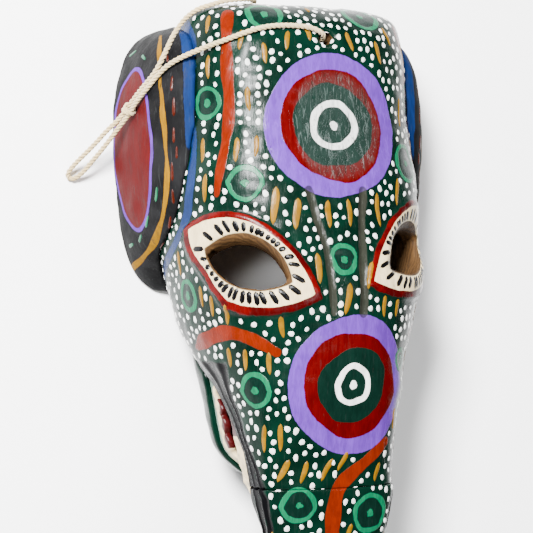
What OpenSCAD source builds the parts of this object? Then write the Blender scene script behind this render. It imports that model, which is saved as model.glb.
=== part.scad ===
// Carved wooden dog mask, lying on its back rim with the face up.
// Millimetres. +Y runs to the crown, -Y to the nose, +Z out of the face.
// The origin is the middle of the resting rim.

/* [Head] */
// Width of the carved head across the cheeks, without the ears
head_w = 176; // [170:1:182]
// Height of the muzzle's ridge above the back rim
head_h = 142; // [138:1:146]
// Wood left round the hollow for the wearer's face
wall = 13; // [11:0.5:14]
// Diameter of the cord's hole in the forehead
cord_hole_d = 10; // [7:0.5:12]

/* [Eyes] */
// Length of an eye opening from corner to corner
eye_length = 60; // [52:1:64]
// Height of an eye opening at its middle
eye_height = 31; // [26:1:33]
// How much lower the eye on the -X side sits than the other
eye_drop = 9; // [0:1:12]

/* [Ears] */
// How far each ear reaches out from the middle of the mask
ear_reach = 102; // [98:1:106]
// Height of the ears' upper edge above the rim
ear_height = 83; // [78:1:86]

/* [Mouth] */
// Height of the lower lip above the rim
lip_z = 55; // [53:1:57]
// Longest drop of the upper teeth below the lip
upper_tooth_drop = 17; // [12:1:18]
// Height of the lower teeth above the lower lip
lower_tooth_height = 13; // [10:1:16]
// Thickness of the teeth strips
tooth_t = 5; // [4:0.5:6]

/* [Pegs] */
// Diameter of the wooden pegs that hold the glued joints
peg_d = 8; // [6:0.5:9]

/* [Cord] */
// Diameter of the twisted cotton cord
cord_d = 3.5; // [3:0.5:4]

/* [Hidden] */
$fn = 48;

across = head_w / 176;
deep = head_h / 142;
seam_y = -123;
ring_side = 4;
ring_arch = 11;

// Sections of the outer carving, from the crown to the seam of the nose block:
// y, base z, base half width, widest z, widest half width, ridge z, squareness
head_rows = [
    [185, 50, 44, 58, 50, 84, 2.4],
    [183, 44, 54, 59, 63, 92, 2.4],
    [179, 36, 61, 60, 72, 99, 2.5],
    [172, 25, 65, 58, 75, 106, 2.5],
    [160, 10, 70, 52, 78, 113, 2.5],
    [140, 0, 76, 44, 80.5, 117, 2.6],
    [108, 0, 79, 40, 82, 121, 2.6],
    [70, 0, 79, 42, 87, 128, 2.6],
    [55, 0, 78, 45, 88, 131, 2.35],
    [39, 0, 74, 48, 86, 134, 2.25],
    [10, 0, 60, 55, 82, 140, 2.7],
    [-10, 0, 52, 60, 79, 142, 2.4],
    [-23, 0, 49, 62, 75.5, 141.5, 2.35],
    [-32, 14, 51, 64, 72, 141, 2.35],
    [-41, 38, 57, 68, 68.5, 140.5, 2.35],
    [-50, 50, 58, 70, 65, 140, 2.5],
    [-58, 62, 56.5, 74, 62, 139, 2.8],
    [-69, 72, 54, 80, 57, 137, 3.1],
    [-93, 87, 50, 93, 51.5, 133, 3.1],
    [-112, 94, 47, 101, 48.5, 131, 3.0],
    [-123, 97, 45.5, 104, 47.5, 130, 3.0]
];

muzzle_row = 10;

// Sections of the nose block, from the seam to the tip
nose_rows = [
    [-123, 96.5, 44.5, 106, 48.5, 130, 3.0],
    [-128, 97.5, 44, 107, 48.5, 129.7, 3.0],
    [-145, 102, 39.5, 109, 45, 127.5, 3.0],
    [-157, 103, 35.5, 110, 41, 126, 2.9],
    [-170, 102, 30.5, 110, 35.5, 123, 2.7],
    [-179, 101, 25, 109, 29, 119, 2.5],
    [-183.5, 103, 19, 109, 22, 115, 2.3],
    [-185, 106, 12.5, 109, 14.5, 112, 2.2]
];

// Sections of the hollow behind the face, which runs on into the muzzle as a space for the nose.
// The widths and the ridge are those of the outer carving, and the wall is taken off them.
hollow_rows = [
    [170, 18, 50, 54, 56, 84, 2.4],
    [166, 8, 60, 54, 71, 100, 2.5],
    [156, -1, 66, 50, 78, 111, 2.5],
    [140, -1, 75, 44, 81, 117, 2.6],
    [108, -1, 79, 40, 82, 121, 2.6],
    [70, -1, 79, 42, 87, 128, 2.6],
    [39, -1, 74, 48, 86, 134, 2.25],
    [10, -1, 60, 55, 80, 139, 2.5],
    [-2, -1, 54, 58, 74, 140, 2.3],
    [-12, 18, 53, 62, 66, 139, 2.3],
    [-26, 46, 48, 72, 54, 136, 2.3],
    [-40, 68, 36, 84, 42, 132, 2.3],
    [-54, 86, 26, 96, 30, 126, 2.2],
    [-62, 96, 20, 102, 22, 120, 2.1]
];

// Sections of an ear: y, where it starts inside the head, share of the reach, share of the height
ear_rows = [
    [173, 60, 0.70, 0.62],
    [171, 62, 0.77, 0.74],
    [165, 63, 0.85, 0.87],
    [153, 64, 0.925, 0.95],
    [133, 64, 0.98, 0.99],
    [108, 64, 1.0, 1.0],
    [80, 64, 0.99, 1.0],
    [59, 64, 0.97, 0.985],
    [43, 63, 0.95, 0.89],
    [29, 60, 0.92, 0.66],
    [17, 56, 0.88, 0.38],
    [7, 53, 0.81, 0.21],
    [-1, 50, 0.71, 0.10]
];
ear_squareness = 3.6;

// Sections of the lower jaw: y, bottom z, half width
jaw_rows = [
    [-21, 0, 55],
    [-36, 5, 60],
    [-50, 14, 59.5],
    [-64, 20, 57],
    [-85, 25, 53],
    [-103, 28, 48],
    [-113, 29, 39],
    [-118, 31, 33],
    [-123, 36, 23],
    [-126, 42, 12]
];
jaw_squareness = 3;
jaw_floor_z = 44;
jaw_lip_t = 9;

// The strips of teeth run between these y, and have this many rounded tips
upper_teeth_from = -73;
upper_teeth_to = -143;
upper_tooth_count = 5;
lower_teeth_from = -56;
lower_teeth_to = -128;
lower_tooth_count = 6;

// Middle of each eye opening on the carved surface, and the way that the opening runs
eye_x = 56;
eye_y = 26;
eye_z = 118;
eye_lean = 36;
eye_nod = 12;
eye_turn = 28;

cord_hole_x = 2;
cord_hole_y = 161;

// The cord's route: out of the forehead's hole, down over the ear on the -X side, through the knot
// to the loop that hangs the mask, back through the knot and over the crown to the hole's back
cord_route = [
    [2, 161, 104],
    [1, 162, 109],
    [-2, 164, 113],
    [-9, 167, 113],
    [-17, 168, 111],
    [-27, 168, 110],
    [-38, 167, 109],
    [-49, 164, 106],
    [-61, 159, 100],
    [-71, 155, 92],
    [-79, 151, 84],
    [-87, 147, 78],
    [-93, 142, 72],
    [-97, 136, 66],
    [-100, 130, 60],
    [-102, 125, 53],
    [-104, 120, 47],
    [-105, 115, 42],
    [-108, 109, 36],
    [-112, 101, 29],
    [-116, 93, 22],
    [-120, 86, 15],
    [-124, 79, 9],
    [-127, 75, 4],
    [-131, 73, 2],
    [-134, 76, 2],
    [-132, 81, 6],
    [-127, 88, 13],
    [-121, 96, 21],
    [-116, 104, 28],
    [-110, 111, 35],
    [-106, 118, 40],
    [-104, 123, 45],
    [-102, 128, 51],
    [-100, 133, 58],
    [-97, 139, 65],
    [-94, 146, 68],
    [-90, 154, 68],
    [-85, 163, 66],
    [-80, 170, 65],
    [-77, 175, 68],
    [-72, 180, 75],
    [-63, 183, 79],
    [-53, 186, 80],
    [-43, 187, 81],
    [-34, 188, 77],
    [-28, 188, 67],
    [-25, 188, 56],
    [-21, 185, 42],
    [-17, 178, 29],
    [-13, 172, 20],
    [-10, 167, 18],
    [-7, 166, 30],
    [-5, 166, 48],
    [-3, 166, 65],
    [0, 164, 80],
    [2, 161, 91],
    [2, 161, 101]
];
cord_sides = 8;
knot_at = [-105, 117, 41];
knot_d = 10;

ear_peg_ys = [120, 60];
ear_peg_z = 36;
ear_peg_from = 77;
ear_peg_length = 18;
nose_peg_x = 20;
nose_peg_z = 117;
nose_peg_length = 30;
jaw_peg_x = 36;
jaw_peg_y = -37;
jaw_peg_from = 14;
jaw_peg_length = 28;

// Where y lies in a table whose rows run from high y to low y
function row_at(rows, y, i = 0) =
    i >= len(rows) - 2 || y > rows[i + 1][0] ? i : row_at(rows, y, i + 1);

// A smooth curve through column k of four rows in turn, at y between the middle two
function slope(p, q, k) = p[0] == q[0] ? 0 : (q[k] - p[k]) / (q[0] - p[0]);
function curve(p, q, r, s, k, y) =
    let (gap = r[0] - q[0], t = (y - q[0]) / gap)
    q[k] * (1 + 2 * t) * (1 - t) * (1 - t) + r[k] * t * t * (3 - 2 * t)
    + gap * (slope(p, r, k) * t * (1 - t) * (1 - t) - slope(q, s, k) * t * t * (1 - t));
function row(rows, y) =
    let (i = row_at(rows, y), last = len(rows) - 1,
        p = rows[max(i - 1, 0)], q = rows[i], r = rows[i + 1], s = rows[min(i + 2, last)])
    [for (k = [1 : len(q) - 1]) curve(p, q, r, s, k, y)];

// The rows' own places, with more between them where they lie far apart
function places(rows, step) = [
    for (i = [0 : len(rows) - 2])
        let (gap = rows[i][0] - rows[i + 1][0], n = ceil(gap / step))
        for (j = [0 : n - 1]) rows[i][0] - gap * j / n,
    rows[len(rows) - 1][0]
];

// One side of an arch: a flank that swells from the base to the widest place, then a rounded shoulder
function flank(s) = [
    for (i = [0 : ring_side - 1])
        let (t = i / ring_side)
        [s[1] + (s[3] - s[1]) * sin(90 * t), s[0] + (s[2] - s[0]) * t]
];
function shoulder(s) = [
    for (i = [0 : ring_arch])
        let (a = 90 * i / ring_arch)
        [s[3] * pow(cos(a), 2 / s[5]), s[2] + (s[4] - s[2]) * pow(sin(a), 2 / s[5])]
];
function arch(s) =
    let (right = concat(flank(s), shoulder(s)), n = len(right))
    concat(right, [for (i = [n - 2 : -1 : 0]) [-right[i][0], right[i][1]]]);

// A closed solid through rings of equal length, each a list of [x, z] at its own y
module loft(ys, rings) {
    n = len(rings[0]);
    points = [for (i = [0 : len(ys) - 1]) for (p = rings[i]) [p[0], ys[i], p[1]]];
    walls = [
        for (i = [0 : len(ys) - 2]) for (j = [0 : n - 1])
            let (a = i * n + j, b = i * n + (j + 1) % n)
            for (face = [[a, a + n, b], [b, a + n, b + n]]) face
    ];
    ends = [
        [for (j = [0 : n - 1]) j],
        [for (j = [n - 1 : -1 : 0]) (len(ys) - 1) * n + j]
    ];
    polyhedron(points, concat(walls, ends));
}

module carving(rows, step, off = 0, lowest = 0) {
    ys = places(rows, step);
    loft(ys, [
        for (y = ys)
            let (s = row(rows, y))
            arch([
                max(s[0], lowest),
                s[1] * across - off,
                s[2],
                s[3] * across - off,
                s[4] * deep - off,
                s[5]
            ])
    ]);
}

module head_outside() {
    carving(head_rows, 9);
}

// The same surface from below the eyes to the seam, where the jaw and the teeth meet it
module muzzle_outside() {
    carving([for (i = [muzzle_row : len(head_rows) - 1]) head_rows[i]], 9);
}

module nose_outside() {
    carving(nose_rows, 6);
}

// An almond in the XY plane: two equal arcs that meet in the corners
module almond(length, height) {
    radius = (length * length / 4 + height * height / 4) / height;
    intersection() {
        translate([0, radius - height / 2]) circle(radius);
        translate([0, height / 2 - radius]) circle(radius);
    }
}

module eye_opening(drop = 0) {
    translate([eye_x * across, eye_y - drop, eye_z])
        rotate([-eye_nod, eye_lean, eye_turn])
            translate([0, 0, -40])
                linear_extrude(height = 80)
                    almond(eye_length, eye_height);
}

module both_sides() {
    children();
    mirror([1, 0, 0]) children();
}

module ear_peg_set() {
    for (y = ear_peg_ys)
        translate([ear_peg_from, y, ear_peg_z])
            rotate([0, 90, 0])
                cylinder(d = peg_d, h = ear_peg_length);
}

module nose_peg_set() {
    translate([nose_peg_x, seam_y + nose_peg_length / 2, nose_peg_z])
        rotate([90, 0, 0])
            cylinder(d = peg_d, h = nose_peg_length);
}

module jaw_peg_set() {
    translate([jaw_peg_x, jaw_peg_y, jaw_peg_from])
        cylinder(d = peg_d, h = jaw_peg_length);
}

// The one block that the face, the cheeks and the top of the muzzle are carved from
module head_shell() {
    color([0.05, 0.22, 0.15])
        difference() {
            head_outside();
            carving(hollow_rows, 12, wall, -1);
            eye_opening();
            mirror([1, 0, 0]) eye_opening(eye_drop);
            translate([cord_hole_x, cord_hole_y, 60]) cylinder(d = cord_hole_d, h = 80);
            both_sides() ear_peg_set();
            both_sides() nose_peg_set();
            both_sides() jaw_peg_set();
        }
}

module nose_block() {
    color([0.06, 0.28, 0.19])
        difference() {
            nose_outside();
            both_sides() nose_peg_set();
        }
}

function ear_ring(s) =
    let (root = s[0], reach = ear_reach * s[1] - root, top = ear_height * s[2])
    concat([[root, 0]], [
        for (i = [0 : ring_arch])
            let (a = 90 * i / ring_arch)
            [root + reach * pow(cos(a), 2 / ear_squareness), top * pow(sin(a), 2 / ear_squareness)]
    ]);

module ear() {
    ys = places(ear_rows, 9);
    difference() {
        loft(ys, [for (y = ys) ear_ring(row(ear_rows, y))]);
        head_outside();
        ear_peg_set();
    }
}

module right_ear() {
    color([0.16, 0.16, 0.17]) ear();
}

module left_ear() {
    color([0.16, 0.16, 0.17]) mirror([1, 0, 0]) ear();
}

function jaw_ring(s) =
    let (right = [
            for (i = [0 : ring_arch])
                let (a = 90 - 90 * i / ring_arch)
                [s[1] * pow(cos(a), 2 / jaw_squareness),
                    lip_z - (lip_z - s[0]) * pow(sin(a), 2 / jaw_squareness)]
        ])
    concat(right, [for (i = [ring_arch : -1 : 1]) [-right[i][0], right[i][1]]]);

// Plan of the jaw at the height of the lip, less a margin: the trough that the tongue lies in
function jaw_edge(off) = [
    for (y = places(jaw_rows, 6)) if (y < jaw_rows[1][0])
        let (w = row(jaw_rows, y)[1] - off, toward = min(1, (y + 126) / 20))
        [max(w, 1), y + off * (1 - toward)]
];
module jaw_plan(off) {
    right = jaw_edge(off);
    polygon(concat(right, [for (i = [len(right) - 1 : -1 : 0]) [-right[i][0], right[i][1]]]));
}

module lower_jaw() {
    ys = places(jaw_rows, 8);
    color([0.05, 0.24, 0.17])
        difference() {
            loft(ys, [for (y = ys) jaw_ring(row(jaw_rows, y))]);
            muzzle_outside();
            translate([0, 0, jaw_floor_z]) linear_extrude(height = 40) jaw_plan(jaw_lip_t);
            both_sides() jaw_peg_set();
        }
}

module tongue() {
    color([0.62, 0.08, 0.08])
        difference() {
            translate([0, -88, jaw_floor_z])
                linear_extrude(height = 10)
                    union() {
                        circle(24);
                        translate([-24, 0]) square([48, 36]);
                    }
            muzzle_outside();
        }
}

// A strip of teeth: for each place along it, x, y, foot z, tip z
module tooth_strip(places, inward) {
    points = [
        for (p = places)
            for (q = [[0, p[2]], [0, p[3]], [inward, p[3]], [inward, p[2]]]) [p[0] + q[0], p[1], q[1]]
    ];
    last = (len(places) - 1) * 4;
    walls = [
        for (i = [0 : len(places) - 2]) for (j = [0 : 3])
            let (a = i * 4 + j, b = i * 4 + (j + 1) % 4)
            for (face = [[a, b, a + 4], [b, b + 4, a + 4]]) face
    ];
    polyhedron(points, concat(walls, [[3, 2, 1, 0], [last, last + 1, last + 2, last + 3]]));
}

// How far the upper teeth hang below the lip, a share t of the way along them
function upper_tooth(t) =
    let (row_drop = pow(sin(180 * pow(t, 1.15)), 0.8),
        notch = 0.86 + 0.14 * abs(sin(180 * upper_tooth_count * t)))
    2 + (upper_tooth_drop - 2) * row_drop * notch;

module upper_teeth_right() {
    color([0.88, 0.84, 0.74])
        difference() {
            tooth_strip([
                for (i = [0 : 30])
                    let (t = i / 30, y = upper_teeth_from + (upper_teeth_to - upper_teeth_from) * t,
                        s = y > seam_y ? row(head_rows, y) : row(nose_rows, y))
                    [(s[1] - 3) * across, y, s[0] + 6, s[0] - upper_tooth(t)]
            ], -tooth_t);
            muzzle_outside();
            nose_outside();
        }
}

module upper_teeth_left() {
    mirror([1, 0, 0]) upper_teeth_right();
}

// Height of the lower teeth, a share t of the way from the corner of the mouth
function lower_tooth(t) =
    lower_tooth_height * min(1, 0.15 + 3 * t) * (0.72 + 0.28 * abs(sin(180 * lower_tooth_count * t)));

module lower_teeth() {
    color([0.80, 0.80, 0.72])
        intersection() {
            translate([0, 0, lip_z])
                linear_extrude(height = 30)
                    difference() {
                        jaw_plan(3);
                        jaw_plan(3 + tooth_t);
                    }
            translate([-70, 0, lip_z])
                rotate([90, 0, 90])
                    linear_extrude(height = 140)
                        polygon(concat([[lower_teeth_to, 0], [lower_teeth_from, 0]], [
                            for (i = [0 : 36])
                                let (t = i / 36)
                                [lower_teeth_from + (lower_teeth_to - lower_teeth_from) * t, lower_tooth(t)]
                        ]));
        }
}

// The cord as one tube that is swept along its route, with a ring at each point of it
function unit(v) = v / norm(v);
function along(p, i) = unit(p[min(i + 1, len(p) - 1)] - p[max(i - 1, 0)]);
function aside(p, i, before) =
    i == len(p) ? [] :
        let (t = along(p, i), side = unit(before - t * (before * t)))
        concat([side], aside(p, i + 1, side));

module tube(p, d) {
    side = aside(p, 0, [0, 1, 0]);
    n = cord_sides;
    points = [
        for (i = [0 : len(p) - 1])
            let (t = along(p, i), up = cross(t, side[i]))
            for (j = [0 : n - 1])
                let (a = 360 * j / n) p[i] + d / 2 * (cos(a) * side[i] + sin(a) * up)
    ];
    walls = [
        for (i = [0 : len(p) - 2]) for (j = [0 : n - 1])
            let (a = i * n + j, b = i * n + (j + 1) % n)
            for (face = [[a, a + n, b], [b, a + n, b + n]]) face
    ];
    ends = [
        [for (j = [0 : n - 1]) j],
        [for (j = [n - 1 : -1 : 0]) (len(p) - 1) * n + j]
    ];
    polyhedron(points, concat(walls, ends));
}

module hanging_cord() {
    color([0.86, 0.80, 0.66])
        tube(cord_route, cord_d);
}

// The knot that ties the two runs of the cord together, above the loop
module cord_knot() {
    color([0.84, 0.77, 0.62])
        translate(knot_at) sphere(d = knot_d);
}

module ear_pegs() {
    color([0.72, 0.56, 0.36]) both_sides() ear_peg_set();
}

module nose_pegs() {
    color([0.72, 0.56, 0.36]) both_sides() nose_peg_set();
}

module jaw_pegs() {
    color([0.72, 0.56, 0.36]) both_sides() jaw_peg_set();
}

head_shell();
nose_block();
lower_jaw();
left_ear();
right_ear();
tongue();
upper_teeth_left();
upper_teeth_right();
lower_teeth();
hanging_cord();
cord_knot();
ear_pegs();
nose_pegs();
jaw_pegs();
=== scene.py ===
"""Looks for the carved and painted wooden dog mask. Metres in Blender, millimetres in the tables below."""

import math

import bpy
import numpy as np
from mathutils import Matrix, Vector
from mathutils.bvhtree import BVHTree


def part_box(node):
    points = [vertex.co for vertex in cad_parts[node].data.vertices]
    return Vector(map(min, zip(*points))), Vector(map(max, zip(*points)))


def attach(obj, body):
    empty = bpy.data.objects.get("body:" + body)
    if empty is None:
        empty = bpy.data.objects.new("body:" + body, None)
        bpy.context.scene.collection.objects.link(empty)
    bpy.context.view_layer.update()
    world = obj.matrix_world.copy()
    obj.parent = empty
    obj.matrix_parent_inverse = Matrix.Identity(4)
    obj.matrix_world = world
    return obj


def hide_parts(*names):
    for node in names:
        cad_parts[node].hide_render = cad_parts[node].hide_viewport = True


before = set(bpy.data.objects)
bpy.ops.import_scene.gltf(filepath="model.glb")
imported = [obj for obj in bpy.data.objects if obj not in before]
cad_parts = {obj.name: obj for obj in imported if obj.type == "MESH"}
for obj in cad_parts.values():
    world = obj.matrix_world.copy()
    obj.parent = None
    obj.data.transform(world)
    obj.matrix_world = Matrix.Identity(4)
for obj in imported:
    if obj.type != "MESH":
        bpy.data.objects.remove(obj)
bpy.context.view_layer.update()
MM = 0.001
RNG = np.random.default_rng(7)

# ---------------------------------------------------------------- colours, linear
DARK_GREEN = (0.0002, 0.0046, 0.0025)
DEEP_GREEN = (0.001, 0.0075, 0.0048)
CHARCOAL = (0.0026, 0.0026, 0.0028)
LAVENDER = (0.066, 0.017, 0.195)
RED = (0.043, 0.0001, 0.0003)
BRIGHT_RED = (0.058, 0.0002, 0.0003)
DARK_RED = (0.024, 0.0004, 0.0006)
ORANGE = (0.082, 0.0050, 0.0)
OCHRE = (0.130, 0.060, 0.0)
TEAL = (0.0, 0.074, 0.031)
BLUE = (0.0030, 0.0115, 0.050)
WHITE = (0.56, 0.56, 0.54)
CREAM = (0.48, 0.38, 0.21)
BLACK = (0.0015, 0.0015, 0.0018)
BRICK = (0.045, 0.0034, 0.0036)
BARE_WOOD = (0.078, 0.039, 0.0135)
BARE_WOOD_DARK = (0.012, 0.007, 0.004)
COTTON = (0.42, 0.31, 0.14)
PEG_WOOD = (0.115, 0.056, 0.015)
RUST = (0.032, 0.003, 0.0002)
GREY_STREAK = (0.018, 0.019, 0.019)
# Grey-green of the forehead ring's worn varnish and of the sheen painted over it; a brighter copy is painted
# as highlights on its crazed streaks
SCUFF_AND_SHEEN = (0.022, 0.031, 0.028)
GROOVE_DARK = (0.003, 0.003, 0.0022)
GROOVE_LIGHT = (0.026, 0.025, 0.019)

# ---------------------------------------------------------------- motifs, millimetres
# Big rings: centre, then the outer radii of the lavender, red, dark and white rings,
# the inner radius of the white ring and the radius of the dot
FOREHEAD_RING = ((2, 105, 122), 46.5, 36, 27.5, 16.6, 12.0, 2.8)
MUZZLE_RING = ((7, -58, 139), 43.5, 33.5, 24, 13.2, 9.2, 2.5)

# Teal rings: centre and outer radius
TEAL_RINGS = [
    ((-36, 176, 99), 12.5), ((34, 179, 97), 13.5), ((-71, 119, 89), 10.5), ((-57, 68, 115), 12),
    ((1, 21, 139), 10), ((-80, -3, 77), 10.5), ((-52, -61, 119), 11.5), ((61, 83, 111), 13.5),
    ((-26, -133, 129), 12), ((25, -140, 128), 13), ((48, -43, 126), 7.5), ((71, 126, 90), 10.5),
    ((80, -1, 76), 10.5), ((54, -78, 112), 9.5), ((-10, -178, 118), 8),
]
TEAL_BAND = 3.1
TEAL_DOT = 2.6

# Orange bands: points along the middle and half widths at both ends
ORANGE_BANDS = [
    ([(-58, 176, 91), (-62, 139, 99), (-61, 118, 102), (-66, 89, 104), (-71, 61, 103)], 3.8, 2.2),
    ([(-75, -40, 62), (-72, -31, 84), (-66, -24, 107), (-56, -28, 120), (-42, -37, 130)], 4.6, 3.2),
    ([(35, -95, 128), (16, -110, 131), (3, -119, 130), (-2, -131, 130), (-2, -152, 127), (0, -176, 119)],
     3.0, 5.2),
    ([(64, 174, 90), (69, 140, 94), (73, 104, 95), (78, 66, 96)], 3.2, 2.2),
    ([(77, -42, 62), (73, -31, 84), (67, -24, 107), (58, -27, 119)], 4.2, 3.2),
]

# Ochre dashes: middle, half length and half width
OCHRE_DASHES = [
    ((-69, 170, 84), 7, 1.5), ((-71, 142, 89), 8, 1.5), ((-76, 89, 91), 8, 1.6), ((-76, 65, 96), 9, 1.7),
    ((-54, 159, 102), 7, 1.6), ((-41, 150, 110), 7, 1.6), ((-26, 159, 112), 7, 1.6),
    ((-11, 164, 111), 6, 1.6), ((-52, 121, 109), 8, 1.7), ((-60, 89, 109), 8, 1.8),
    ((-49, 91, 115), 7, 1.6), ((-41, 54, 125), 12, 2.4), ((-28, 49, 130), 10, 2.4), ((-7, 49, 133), 9, 2.0),
    ((8, 50, 133), 9, 1.7), ((30, 52, 129), 11, 1.7), ((18, 160, 112), 7, 1.6), ((40, 154, 110), 8, 1.7),
    ((-4, 181, 95), 6, 1.6), ((51, 166, 101), 7, 1.6), ((58, 116, 105), 10, 1.6), ((48, 64, 121), 9, 1.7),
    ((-17, 15, 139), 10, 2.1), ((2, -4, 142), 10, 2.2), ((18, 11, 140), 9, 1.7), ((29, -9, 139), 7, 1.6),
    ((40, -10, 135), 6, 1.6), ((-40, -21, 133), 7, 1.7), ((-83, 18, 70), 8, 1.6), ((-77, -3, 92), 7, 1.5),
    ((-73, -9, 100), 7, 1.5), ((-67, -14, 110), 7, 1.6), ((-63, -41, 104), 7, 1.6), ((-57, -42, 115), 7, 1.6),
    ((-46, -44, 127), 7, 1.6), ((-46, -91, 120), 9, 1.6), ((-38, -90, 127), 9, 1.6),
    ((-36, -111, 127), 7, 2.0),
    ((-23, -112, 130), 7, 1.7), ((-8, -111, 131), 7, 1.7), ((3, -106, 131), 6, 1.6),
    ((29, -114, 129), 6, 1.6),
    ((43, -81, 126), 7, 1.7), ((69, 156, 89), 7, 1.5), ((76, 92, 91), 8, 1.6),
    ((77, -6, 92), 7, 1.5), ((66, -14, 111), 6, 1.6), ((57, -45, 115), 7, 1.6), ((48, -98, 116), 7, 1.6),
    ((20, -166, 122), 6, 1.6), ((38, -158, 118), 6, 1.6), ((-38, -155, 118), 6, 1.6),
    ((10, -152, 127), 6, 1.6), ((-19, -166, 122), 5, 1.5),
]

# The dashes between these heights lean over
LEANING_ROW = (-116, -104)

# Eyes: middle of the opening on the +X side, and its tilt as the carver's knife held it
EYE_MIDDLE = (56, 26, 118)
EYE_DROP = 9
EYE_NOD, EYE_LEAN, EYE_TURN = 12, 36, 28
EYE_HOLE = (60, 31)
# Painted almond: its corners in the eye's own plane, and how far its two arcs bulge
ALMOND_OUTER = (47, 8.5)
ALMOND_INNER = (-46, 1)
ALMOND_RISE = 16.5
ALMOND_FALL = 29
ALMOND_PINCH = 0.4
RED_RIM = 3.7

# Ears: the painted oval's middle (reach, y, z) and its half axes
EAR_OVAL = (92, 32, 51, 27)
EAR_LINE = [
    (171, 36), (158, 55), (141, 65), (109, 72), (76, 73), (57, 70), (42, 60), (29, 42), (20, 22), (15, 4),
]
EAR_BLUE = [
    ((75, 172, 60), (78, 160, 76), (80, 140, 82), (80.5, 115, 84), (80.5, 90, 85), (81.5, 58, 86),
     (83, 36, 74), (83, 17, 50), (78, 2, 20)),
]

# Short strokes on the black of the ears: middle on the -X ear, way they run, half length, half width
EAR_TEAL = [
    ((-93, 157, 14), (0, 0.4, 1), 5, 1.0), ((-95, 152, 38), (0, -0.5, 1), 4, 0.9),
    ((-95, 62, 62), (0, 1, 0.3), 5, 1.0),
    ((-95, 45, 47), (0, 1, 0.8), 5, 1.0), ((-95, 34, 32), (0, 0.8, 1), 4, 1.0),
    ((-94, 30, 16), (0, 0.2, 1), 4, 1.0),
]
EAR_ORANGE = [
    ((-90, 132, 75), (0, 1, 0), 5, 0.8), ((-89, 117, 77), (0, 1, 0), 6, 0.9),
    ((-89, 99, 77), (0, 1, 0), 5, 0.7),
    ((-88, 88, 79), (0, 1, 0), 4, 0.6), ((-90, 76, 76), (0, 1, 0), 6, 0.8),
    ((-89, 60, 75), (0, 1, 0), 5, 0.8),
    ((-87, 44, 66), (0, 1, 0.5), 5, 0.8), ((-84, 27, 50), (0, 1, 0.8), 5, 0.8),
    ((-88, 150, 66), (0, 1, -0.4), 5, 0.8),
]

# Pale stripe low on each cheek
CHEEK_STRIPE = [(83, 0, 52), (81, -16, 54), (76, -30, 58), (70, -44, 62)]

# Where the red gum ends on the upper teeth, and the folds beside the mouth
GUM_END = -94
FOLD_COUNT = 6
# How far from the middle of the forehead's ring the varnish is worn and a sheen with highlights is painted
SCUFF_AND_SHEEN_REACH = 37

# Grooves beside the raised strip on the bridge of the nose: points and half widths
BRIDGE_GROOVES = [
    ([(-19, 64, 128), (-15, 45, 132), (-10, 26, 137), (-9, 8, 140), (-8, -13, 142)], 2.6),
    ([(19, 64, 128), (16, 38, 134), (14, 14, 139), (13, -13, 141)], 3.0),
]

# Where the red of the lip and the folds end towards the cheeks
MOUTH_BACK_Y = -46
FOLDS_BACK_Y = -45

# The seam of the nose block, and how near the nose's tip and the floor the dots go
SEAM_Y = -123
DOTS_END_Y, DOTS_END_Z = -181, 3
# A distance that means "nowhere near", for shapes that a piece doesn't have
AWAY = 60.0


# ---------------------------------------------------------------- shapes as distances, millimetres
def smooth_step(d, low, high):
    t = np.clip((d - low) / (high - low), 0, 1)
    return t * t * (3 - 2 * t)


def to_ball(co, centre):
    return np.linalg.norm(co - np.array(centre, float), axis=1)


def to_line(co, points):
    """Distance to a run of points, and how far along it the nearest place lies, from 0 to 1."""
    points = np.array(points, float)
    lengths = np.linalg.norm(np.diff(points, axis=0), axis=1)
    starts = np.concatenate([[0], np.cumsum(lengths)])
    best = np.full(len(co), 1e9)
    where = np.zeros(len(co))
    for a, b, start, length in zip(points[:-1], points[1:], starts, lengths):
        t = np.clip((co - a) @ (b - a) / length**2, 0, 1)
        d = np.linalg.norm(co - a - t[:, None] * (b - a), axis=1)
        near = d < best
        best[near] = d[near]
        where[near] = (start + t[near] * length) / starts[-1]
    return best, where


def eye_frame(side):
    """The eye's middle, and a matrix whose columns are its long way, its short way and its outward way."""
    nod, lean, turn = (math.radians(a) for a in (-EYE_NOD, EYE_LEAN, EYE_TURN))
    turned = Matrix.Rotation(turn, 3, "Z") @ Matrix.Rotation(lean, 3, "Y") @ Matrix.Rotation(nod, 3, "X")
    middle = np.array(EYE_MIDDLE, float)
    if side < 0:
        middle[1] -= EYE_DROP
    return middle, np.array(turned)


def in_eye(co, side):
    """Points in the eye's own plane."""
    middle, axes = eye_frame(side)
    return (co * np.array([side, 1, 1]) - middle) @ axes


def from_eye(local, side):
    middle, axes = eye_frame(side)
    return (np.array(local, float) @ axes.T + middle) * np.array([side, 1, 1])


def arc_pair(p, a, b, rise, fall):
    """Signed distance in a plane to the shape between two arcs that meet in a and b."""
    a, b = np.array(a, float), np.array(b, float)
    half = np.linalg.norm(b - a) / 2
    along = (a - b) / (2 * half)
    up = np.array([-along[1], along[0]])
    middle = (a + b) / 2
    far = -1e9
    for bulge, way in ((rise, 1), (fall, -1)):
        radius = (half**2 + bulge**2) / (2 * bulge)
        centre = middle + up * way * (bulge - radius)
        far = np.maximum(far, np.linalg.norm(p[:, :2] - centre, axis=1) - radius)
    return far


def almond_outline(p):
    """Signed distance in the eye's plane to the almond. Its lower edge is straighter at the outer corner."""
    chord = np.interp(p[:, 0], [ALMOND_INNER[0], ALMOND_OUTER[0]], [ALMOND_INNER[1], ALMOND_OUTER[1]])
    pinch = np.where(p[:, 1] < chord, 1 + ALMOND_PINCH * smooth_step(p[:, 0], 0, 36), 1.0)
    pinched = np.column_stack([p[:, 0], chord + (p[:, 1] - chord) * pinch])
    return arc_pair(pinched, ALMOND_OUTER, ALMOND_INNER, ALMOND_RISE, ALMOND_FALL)


def almond(co, side):
    """Signed distance to the painted almond round an eye, far away on the mask's other parts."""
    local = in_eye(co, side)
    flat = almond_outline(local)
    return np.where((np.abs(local[:, 2]) < 30) & (co[:, 0] * side > 0), flat, AWAY)


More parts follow.
